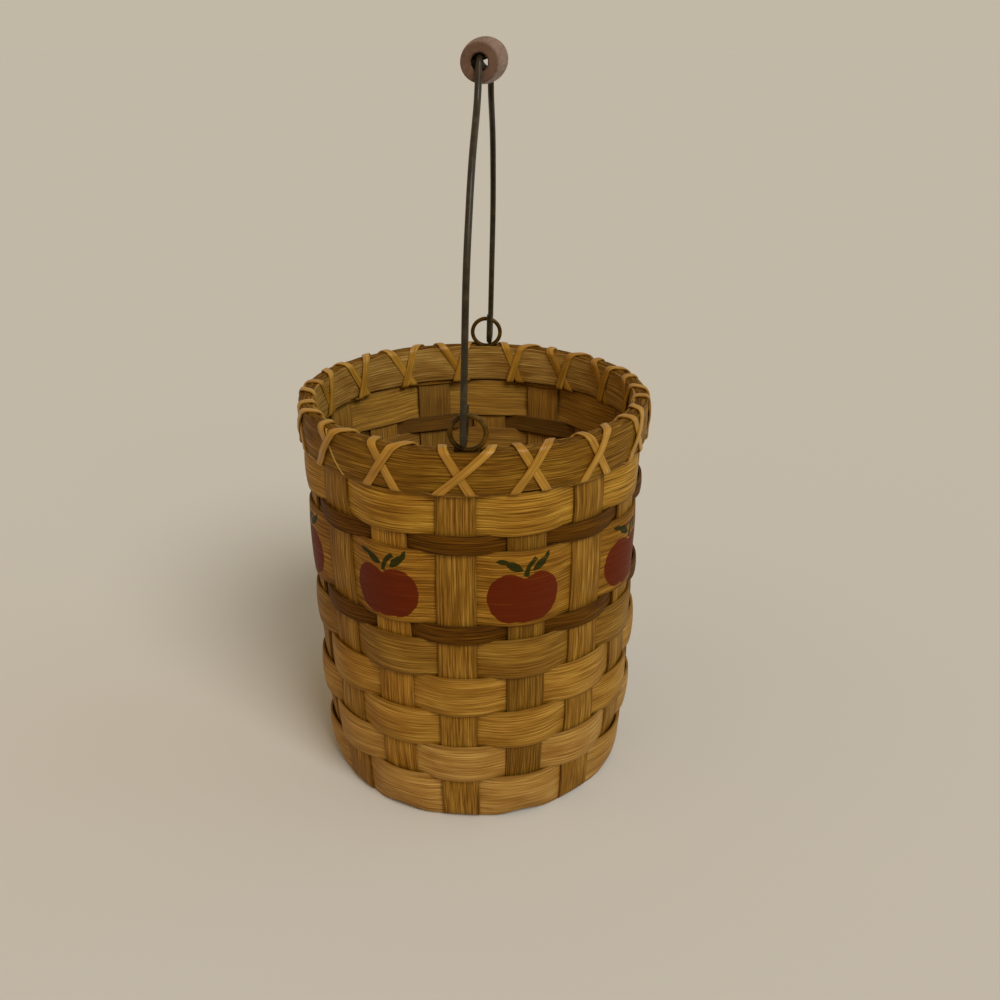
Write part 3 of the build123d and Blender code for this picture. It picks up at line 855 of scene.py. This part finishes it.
def round_place(number):
    """The middle surface of one base round."""
    radii = [reach(point) for point in node_points(f"base_round_{number + 1}")]
    inner, outer = min(radii), max(radii)

    def place(s, t):
        turns = s * STAKES
        arm = int(turns)
        radius = inner + t * (outer - inner)
        flat = half_width(radius) / radius / PITCH
        share = ease((turns - arm - flat) / (1 - 2 * flat))
        here, there = round_height(arm, number, radius), round_height(arm + 1, number, radius)
        return polar(radius, first_angle + turns * PITCH, here + share * (there - here))

    return place, (math.pi * (inner + outer), outer - inner)


for number in range(base_round_count):
    place, size = round_place(number)
    name = f"base_round_{number + 1}"
    look = (base_reed, "base_reed")
    strip(name + "_reed", place, round_cells, size, number * 1.13, look, [name], base_round_thickness)
print("base rounds:", base_round_count)

# %% [markdown]
# ## Rim bands and filler
# Two wider bands clamp the stake ends. Each is one length of reed whose ends overlap, and both ends
# are shaved thin so that the lap is no thicker than the rest. On the outer band the upper end shows on
# the left of the front, cut on a slant. The bands bulge a little between the crosses of the lashing,
# which pull them in. The filler is a rough fibrous strip that closes the top between the bands.

# %% Rim bands
band_cells = (STAKES * 16, 8)
lap_angle = math.radians(24)
lap_offset = 0.3 * MM
lap_fade = math.radians(14)
scarf_share = 0.5
band_bulge, band_crown = 0.35 * MM, 0.08 * MM
band_inset = 0.25 * MM
low_wander, high_wander = 0.6 * MM, 0.5 * MM
end_slant = math.radians(3.8)
end_bow = math.radians(1.9)


def band_place(node, end_angle, side, seed):
    """The middle surface of a rim band that starts on top of its own far end.

    side is 1 for the outer band and -1 for the inner one.
    """
    radii = [reach(point) for point in node_points(node)]
    middle = (min(radii) + max(radii)) / 2
    low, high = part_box(node)[0].z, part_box(node)[1].z
    total = math.tau + lap_angle

    def place(s, t):
        run = s * total
        slant = (end_slant * (1 - 2 * t) - end_bow * crown(t)) * (1 - ease(run / lap_fade))
        angle = end_angle + run + slant
        over = 1 - ease(run / (lap_angle + lap_fade))
        under = ease((run - math.tau + lap_fade) / lap_fade)
        between = 0.5 - 0.5 * math.cos(STAKES * (angle - first_angle))
        bulge = (band_bulge * between + band_crown) * crown(t)
        radius = middle + side * (lap_offset * (over - under) + bulge)
        low_edge = low + band_inset + ring_wander(low_wander, angle, 4, seed)
        high_edge = high + ring_wander(high_wander, angle, 7, seed)
        return polar(radius, angle, low_edge + t * (high_edge - low_edge))

    def thin(s):
        run = s * total
        shaved = 1 - ease(run / lap_angle) + ease((run - math.tau + lap_fade) / lap_angle)
        return 1 - scarf_share * shaved

    return place, thin, (total * middle, high - low)


band_ends = [
    ("outer_rim_band", math.radians(-134), 1, 3.1),
    ("inner_rim_band", math.radians(148), -1, 8.7),
]
for band, end_angle, side, seed in band_ends:
    place, thin, size = band_place(band, end_angle, side, seed)
    look = (rim_reed if side > 0 else painted_light_rim_reed, "rim_reed")
    strip(band + "_reed", place, band_cells, size, seed, look, [band], closed=False, thin=thin)

# %% Rim filler
filler_cells = (260, 6)
filler_thickness = 1.7 * MM
filler_arch = 0.8 * MM
filler_side_wander, filler_top_wander = 0.25 * MM, 0.4 * MM


def filler_place(node, seed):
    """The middle surface of one length of filler, from ear to ear."""
    points = node_points(node)
    inner, outer = min(map(reach, points)), max(map(reach, points))
    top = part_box(node)[1].z
    side = 1 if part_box(node)[1].x > wall_radius / 2 else -1
    gap = math.asin(min(abs(point.x) for point in points) / wall_radius)
    sweep = math.pi - 2 * gap

    def place(s, t):
        angle = -math.pi / 2 + side * (gap + s * sweep)
        radius = inner + t * (outer - inner) + ring_wander(filler_side_wander, angle, 14, seed + 4 * t)
        height = top - filler_thickness / 2 - filler_arch * (1 - crown(t))
        height += ring_wander(filler_top_wander, angle, 22, seed + 9 * t)
        return polar(radius, angle, height)

    return place, (sweep * wall_radius, outer - inner)


for filler, seed in (("rim_filler_right", 2.2), ("rim_filler_left", 5.5)):
    place, size = filler_place(filler, seed)
    look = (filler_reed, "rim_filler")
    strip(filler + "_fibre", place, filler_cells, size, seed, look, [filler], filler_thickness, closed=False)
print("rim: 2 bands and 2 lengths of filler")

# %% [markdown]
# ## Lashing
# Two strands of cane wind round the rim, one leaning each way, so every stake gets a cross outside and
# a narrow one inside. The stations of one winding are the corners of the rim and a few stops between
# them. The line through the stations is averaged over a short stretch, longer at the top, which rounds
# its folds. The cane's width lies along the rim everywhere, and widens on a slanting run to keep its
# real width. At the left of the front, one winding climbs behind the cut end of the outer band, and
# comes out from under it half way up.

# %% Lashing stations
lash_width = 3.4 * MM
lash_thickness = 0.65 * MM
lash_clearance = 0.1 * MM
lash_turn_gap = 0.65 * MM
foot_softness = 1.1 * MM
top_softness = 2.4 * MM
lash_middle = lash_clearance + lash_thickness / 2
lash_raise = lash_thickness + lash_clearance
lash_outside = max(map(reach, node_points("outer_rim_band"))) + lash_middle
lash_inside = min(map(reach, node_points("inner_rim_band"))) - lash_middle
lash_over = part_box("rim_filler_right")[1].z + lash_middle
lash_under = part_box("outer_rim_band")[0].z - lash_middle
lash_tuck = min(map(reach, node_points("outer_rim_band")))
lash_turn = wall_radius + reed_thickness / 2 + lash_turn_gap
outer_foot_angle = math.radians(5.05)
outer_top_angle = math.radians(3.75)
outer_top_offset = math.radians(0.75)
inner_top_angle = math.radians(6.15)
inner_foot_angle = math.radians(13.45)
ear_offset = -math.pi / 2 - first_angle
ear_room = math.radians(6.1)
ear_slant = math.radians(2.0)
# Shares of the climb outside and of the drop inside where a winding has a stop, and where it is raised.
outer_stops = (0.08, 0.22, 0.42, 0.58, 0.73, 0.88)
inner_stops = (0.16, 0.36, 0.68, 0.9)
raised_from, raised_to, inner_raised_from = 0.4, 0.75, 0.3
# The winding under the cut end, how far its foot is raised, and where it comes out and lies free.
tucked_turn = 2
tucked_rise = 1.5 * MM
tucked_to, free_from = 0.5, 0.6


def lash_corners(leaning, stake_angle):
    """Angles where a strand turns round the rim's four corners. Next to an ear it gives way."""
    outer_top = outer_top_angle + leaning * outer_top_offset
    inner_top = inner_top_angle + leaning * ear_offset
    for ear in ("front_ear", "rear_ear"):
        middle = (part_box(ear)[0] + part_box(ear)[1]) / 2
        to_ear = math.remainder(math.atan2(middle.y, middle.x) - stake_angle, math.tau)
        if abs(to_ear) < PITCH / 2:
            clear = ear_room + leaning * to_ear
            outer_top, inner_top = max(outer_top, clear), max(inner_top, clear + ear_slant)
    corners = (-outer_foot_angle, outer_top, inner_top, inner_foot_angle)
    return [stake_angle + leaning * corner for corner in corners]


def winding(turn, leaning, raised):
    """Stations of one winding: angle, radius, height and the way that the cane faces."""
    start = first_angle + leaning * turn * PITCH
    outer_foot, outer_top, inner_top, inner_foot = lash_corners(leaning, start)
    lift = lash_raise if raised else 0.0
    tucked = turn == tucked_turn and not raised
    low_outside = lash_tuck - lash_middle if tucked else lash_outside
    foot = lash_under + (tucked_rise if tucked else 0)
    eighth = math.pi / 4
    facing = math.tau * turn
    climb = lash_over - lash_under
    made = [
        (inner_foot - leaning * PITCH, lash_turn, lash_under, facing - 2 * eighth),
        (outer_foot, min(lash_tuck, low_outside), foot, facing - 2 * eighth),
        (outer_foot, low_outside, foot, facing - eighth),
    ]
    for share in outer_stops:
        angle = outer_foot + share * (outer_top - outer_foot)
        radius = low_outside if share < tucked_to else lash_outside
        if raised_from < share < raised_to:
            radius += lift
        if tucked and tucked_to < share < free_from:
            radius -= lash_raise
        made.append((angle, radius, lash_under + share * climb, facing))
    made.append((outer_top, lash_outside, lash_over, facing + eighth))
    made.append((inner_top, lash_inside, lash_over, facing + 3 * eighth))
    for share in inner_stops:
        angle = inner_top + share * (inner_foot - inner_top)
        radius = lash_inside - (lift if share > inner_raised_from else 0)
        made.append((angle, radius, lash_over - share * climb, facing + 4 * eighth))
    made.append((inner_foot, lash_inside - lift, lash_under, facing + 5 * eighth))
    return [Vector(station) for station in made]


def lash_line(leaning, raised):
    """A function from a distance along a strand to its smoothed station, and the strand's length."""
    stations = []
    for turn in range(STAKES):
        stations += winding(turn, leaning, raised)
    angle, _, _, facing = stations[-1]
    stations.append(Vector((angle, lash_inside + lash_width / 2, lash_under, facing + math.pi / 4)))
    spots = [polar(radius, angle, height) for angle, radius, height, _ in stations]
    marks = [0.0]
    for start, end in zip(spots, spots[1:]):
        marks.append(marks[-1] + (end - start).length)

    def station(distance):
        index = min(max(bisect.bisect(marks, distance), 1), len(marks) - 1)
        share = (distance - marks[index - 1]) / (marks[index] - marks[index - 1])
        return stations[index - 1].lerp(stations[index], share)

    def smooth(distance):
        rise = (station(distance).z - lash_under) / (lash_over - lash_under)
        window = min(foot_softness + rise * (top_softness - foot_softness), distance, marks[-1] - distance)
        taps = [station(distance + window * step) for step in (-1, -0.6, -0.2, 0.2, 0.6, 1)]
        return sum(taps, Vector((0, 0, 0, 0))) / len(taps)

    return smooth, marks[-1]


# %% Lashing strands
lash_cell = 0.75 * MM
lash_crown = 0.2 * MM
least_slant = 0.7


def lash_place(leaning, raised):
    """The middle surface of one strand of cane, its size and the number of cells along it."""
    smooth, length = lash_line(leaning, raised)
    count = round(length / lash_cell)
    stations = [smooth(length * index / count) for index in range(count + 1)]
    spots = [polar(radius, angle, height) for angle, radius, height, _ in stations]

    def place(s, t):
        index = round(s * count)
        angle, _, _, facing = stations[index]
        run = (spots[min(index + 1, count)] - spots[max(index - 1, 0)]).normalized()
        along = polar(1, angle + math.pi / 2, 0)
        outwards = polar(math.cos(facing), angle, math.sin(facing))
        face = (outwards - run * outwards.dot(run)).normalized()
        width = lash_width / max(run.cross(along).length, least_slant)
        return spots[index] + along * (t - 0.5) * width + face * lash_crown * crown(t)

    return place, (length, lash_width), count


for name, leaning, raised in (("first_lashing", -1, False), ("second_lashing", 1, True)):
    place, size, count = lash_place(leaning, raised)
    look = (lashing_cane, "lashing_cane")
    strip(name + "_cane", place, (count, 4), size, leaning + 2, look, [name], lash_thickness, closed=False)
    print(name, round(size[0], 2), "m of cane")

# %% [markdown]
# ## Wire and grip
# The eyes, the bail and the grip are rigid, and their solids already have the right shape, so they
# stay and only get a finish. The wire is dark oiled iron with a brown bloom, stronger on the eyes, and
# the grip is turned hardwood with a red-brown stain. Its grain runs along it, and its two ends are
# darker, partly because their cut fibres took more stain and partly as painted shade.

# %% Wire finish
bloom_scale, speck_scale = 260.0, 1800.0
iron_stops = (0.35, 0.55, 0.72)
iron_gloss = (0.28, 0.42)
iron_relief, iron_relief_depth = 0.2, 0.2 * MM


def iron_finish(name, shine, *tones):
    """Iron wire with a brown bloom and rubbed spots, in a dark, a middle and a light tone."""
    material, tree, shader = new_material(name)
    place = add(tree, "TexCoord", {}).outputs["Object"]
    inputs = {"Vector": place, "Scale": bloom_scale, "Detail": 4.0, "Roughness": 0.6}
    bloom = add(tree, "TexNoise", inputs).outputs["Fac"]
    speck = add(tree, "TexNoise", {"Vector": place, "Scale": speck_scale, "Detail": 2.0}).outputs["Fac"]
    colour = ramp(tree, bloom, *zip(iron_stops, tones))
    rough = slope(tree, bloom, *iron_gloss, start=0.3, end=0.7)
    join_surface(tree, shader, colour, rough, (speck, iron_relief, iron_relief_depth), shine)
    return material


# %% Grip finish
grip_tones = tone(78, 50, 37), tone(114, 82, 64), tone(142, 109, 90)
end_stain_and_shade_tone = tone(82, 61, 45)
end_stain_and_shade_share = 0.55
end_fade = (0.7 * MM, 0.2 * MM)
fine_scale, broad_scale = 900.0, 160.0
fine_share, broad_share = 0.55, 0.45
grip_stretch = (1.0, 0.07, 1.0)
grip_stops = (0.32, 0.5, 0.68)
grip_gloss, grip_shine = (0.6, 0.42), 0.3
grip_relief, grip_relief_depth = 0.2, 0.3 * MM


def grip_finish():
    """Red-brown turned wood, with the grain along the grip."""
    material, tree, shader = new_material("red-brown turned wood")
    place = add(tree, "TexCoord", {}).outputs["Object"]
    centre = (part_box("grip")[0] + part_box("grip")[1]) / 2
    half_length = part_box("grip")[1].y - centre.y
    centred = vector(tree, "SUBTRACT", place, tuple(centre))
    stretched = vector(tree, "MULTIPLY", centred, grip_stretch)
    inputs = {"Vector": stretched, "Scale": fine_scale, "Detail": 4.0, "Roughness": 0.65}
    grain = add(tree, "TexNoise", inputs).outputs["Fac"]
    broad = add(tree, "TexNoise", {"Vector": stretched, "Scale": broad_scale, "Detail": 2.0}).outputs["Fac"]
    both = calc(tree, "MULTIPLY_ADD", grain, fine_share, calc(tree, "MULTIPLY", broad, broad_share))
    colour = ramp(tree, both, *zip(grip_stops, grip_tones))
    along = calc(tree, "ABSOLUTE", add(tree, "SeparateXYZ", {0: centred}).outputs["Y"])
    # The two ends are darker: end grain that took more stain, and painted shade.
    end_face = fade(tree, along, half_length - end_fade[0], half_length - end_fade[1])
    colour = mix(tree, calc(tree, "MULTIPLY", end_face, end_stain_and_shade_share), colour, end_stain_and_shade_tone)
    rough = slope(tree, grain, *grip_gloss)
    join_surface(tree, shader, colour, rough, (grain, grip_relief, grip_relief_depth), grip_shine)
    return material


# %% Dressed solids
def dress(node, material):
    """Give a solid that stays in view its finish."""
    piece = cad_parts[node]
    for slot in piece.material_slots:
        slot.material = material


brown_iron = iron_finish("brown iron wire", 0.1, tone(54, 37, 2), tone(72, 50, 5), tone(94, 67, 12))
dress("front_ear", brown_iron)
dress("rear_ear", brown_iron)
dark_iron = iron_finish("dark iron wire", 0.22, tone(37, 30, 16), tone(49, 40, 23), tone(64, 54, 33))
dress("bail_wire", dark_iron)
dress("grip", grip_finish())
print("dressed solids: two ears, bail and grip")

# %% [markdown]
# ## Floor, light and camera
# The basket stands on a wide pale floor under one broad soft lamp from the upper right, a weak warm
# fill from the left, a weak cool one from the right and an even sky. The camera looks down at the front
# from a little right of the middle, at the distance and lens that make the rim, base and stakes fall
# where they do in the photograph.

# %% Stage
floor_tone = tone(204, 201, 194)
floor_half_width = 20


def make_floor():
    """A wide pale sheet under the basket."""
    bm = bmesh.new()
    bmesh.ops.create_grid(bm, x_segments=1, y_segments=1, size=floor_half_width)
    mesh = bpy.data.meshes.new("floor")
    bm.to_mesh(mesh)
    bm.free()
    material, _, shader = new_material("pale floor")
    shader.inputs["Base Color"].default_value = floor_tone
    shader.inputs["Roughness"].default_value = 1.0
    shader.inputs["Specular IOR Level"].default_value = 0.0
    mesh.materials.append(material)
    floor = bpy.data.objects.new("floor", mesh)
    bpy.context.scene.collection.objects.link(floor)
    floor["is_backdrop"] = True


def make_lamp(name, place, strength, colour, breadth):
    """A distant lamp that points at the origin. Its breadth, in degrees, softens the shadows."""
    data = bpy.data.lights.new(name, "SUN")
    data.energy = strength
    data.color = colour
    data.angle = math.radians(breadth)
    lamp = bpy.data.objects.new(name, data)
    lamp.location = place
    lamp.rotation_euler = (-Vector(place)).to_track_quat("-Z", "Y").to_euler()
    bpy.context.scene.collection.objects.link(lamp)


def make_sky(colour, strength, seen):
    """An even sky that the camera, and whatever shines, sees as the same pale tone as the floor."""
    world = bpy.data.worlds.new("sky")
    world.use_nodes = True
    tree = world.node_tree
    background = tree.nodes["Background"]
    background.inputs["Color"].default_value = colour
    background.inputs["Strength"].default_value = strength
    shown = add(tree, "Background", {"Color": seen, "Strength": 1.0})
    path = add(tree, "LightPath", {}).outputs
    looking = path["Is Camera Ray"]
    for ray in ("Is Glossy Ray", "Is Transmission Ray"):
        looking = calc(tree, "MAXIMUM", looking, path[ray])
    blend = add(tree, "MixShader", {0: looking, 1: background.outputs[0], 2: shown.outputs[0]})
    tree.links.new(blend.outputs[0], tree.nodes["World Output"].inputs["Surface"])
    bpy.context.scene.world = world


make_floor()
make_sky(colour=tone(255, 234, 203), strength=0.39, seen=tone(194, 184, 166))
make_lamp("broad key", (0.62, -0.92, 1.1), strength=1.95, colour=(1.0, 0.97, 0.93), breadth=28)
make_lamp("left fill", (-0.9, -0.5, 0.6), strength=0.26, colour=(1.0, 0.62, 0.2), breadth=60)
make_lamp("right fill", (0.9, 0.1, 0.3), strength=0.6, colour=(0.45, 0.8, 1.0), breadth=60)
print("lamps:", [lamp.name for lamp in bpy.data.lights])

# %% Camera
camera_place = (26.86 * MM, -436.2 * MM, 316.55 * MM)
camera_tilt, camera_turn = math.radians(66.05), math.radians(2.05)
camera_data = bpy.data.cameras.new("camera")
camera_data.lens = 38.15
camera_data.sensor_width = 36
camera = bpy.data.objects.new("camera", camera_data)
camera.location = camera_place
camera.rotation_euler = (camera_tilt, 0, camera_turn)
bpy.context.scene.collection.objects.link(camera)
bpy.context.scene.camera = camera
bpy.context.scene.view_settings.view_transform = "Standard"
print("camera: lens", camera_data.lens, "mm, sensor", camera_data.sensor_width, "mm")

# %% [markdown]
# ## Sizes and finish
# The dressed basket has to stay in the box of its solids, apart from a little fibre, so both boxes are
# worked out before the frame is closed.

# %% Sizes and finish
bpy.context.view_layer.update()
for name, box in (("cad", cad_box), ("visual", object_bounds())):
    [[float(value) for value in corner] for corner in box]
